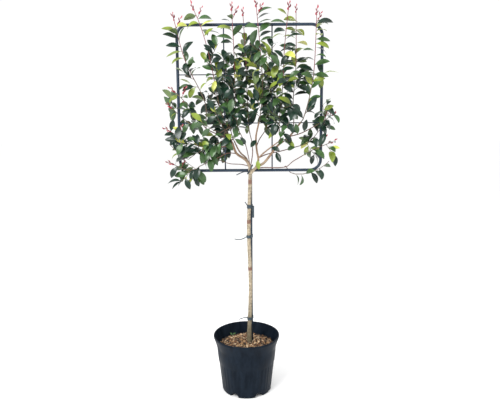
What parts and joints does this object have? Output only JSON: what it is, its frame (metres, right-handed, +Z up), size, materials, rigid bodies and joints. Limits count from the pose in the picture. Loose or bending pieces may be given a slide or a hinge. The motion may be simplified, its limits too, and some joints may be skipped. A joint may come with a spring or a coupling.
{
  "type": "potted red robin photinia espalier",
  "caption": "Evergreen shrub in a round nursery pot, its clear stem and flat fan of leafy shoots trained on a square tube frame with cross bars.",
  "frame": {"origin": "middle of the pot's flat underside", "axes": "+Z up along the stem, +X to the right along the flat frame, +Y away from the front"},
  "size_m": [0.7985, 0.31, 1.7711],
  "materials": {
    "black_plastic": "satin moulded black plastic",
    "bark_mulch": "loose potting mix with bark chips on top",
    "bark": "pale tan bark",
    "young_bark": "thin reddish brown bark",
    "painted_steel": "dark blue-black paint",
    "rubber": "soft dark tie",
    "leaf_green": "glossy leaves"
  },
  "bodies": {
    "root": {"bough_centre": "bark", "bough_centre_back": "young_bark", "bough_centre_red": "young_bark", "bough_left": "bark", "bough_left_bottom": "young_bark", "bough_left_end": "young_bark", "bough_left_inner": "bark", "bough_left_low": "young_bark", "bough_left_middle": "young_bark", "bough_left_side": "young_bark", "bough_left_thin": "young_bark", "bough_right": "bark", "bough_right_bottom": "young_bark", "bough_right_inner": "bark", "bough_right_low": "young_bark", "bough_right_outer": "young_bark", "bough_right_rising": "young_bark", "bough_right_under": "young_bark", "foliage_centre_back": "leaf_green", "foliage_centre_left": "leaf_green", "foliage_centre_top": "leaf_green", "foliage_heart_back": "leaf_green", "foliage_left_bottom": "leaf_green", "foliage_left_heart": "leaf_green", "foliage_left_inner_top": "leaf_green", "foliage_left_low": "leaf_green", "foliage_left_middle": "leaf_green", "foliage_left_side": "leaf_green", "foliage_left_top": "leaf_green", "foliage_right_back_top": "leaf_green", "foliage_right_bottom": "leaf_green", "foliage_right_inner_top": "leaf_green", "foliage_right_lower": "leaf_green", "foliage_right_side": "leaf_green", "foliage_right_top": "leaf_green", "foliage_right_under": "leaf_green", "frame_bottom": "painted_steel", "frame_crossbar_lower": "painted_steel", "frame_crossbar_upper": "painted_steel", "frame_left": "painted_steel", "frame_post": "painted_steel", "frame_right": "painted_steel", "frame_top": "painted_steel", "frame_upright_left": "painted_steel", "frame_upright_right": "painted_steel", "pot": "black_plastic", "soil": "bark_mulch", "tie_fork": "rubber", "tie_lower": "rubber", "tie_middle": "rubber", "tie_upper": "rubber", "trunk": "bark"}
  },
  "joints": []
}
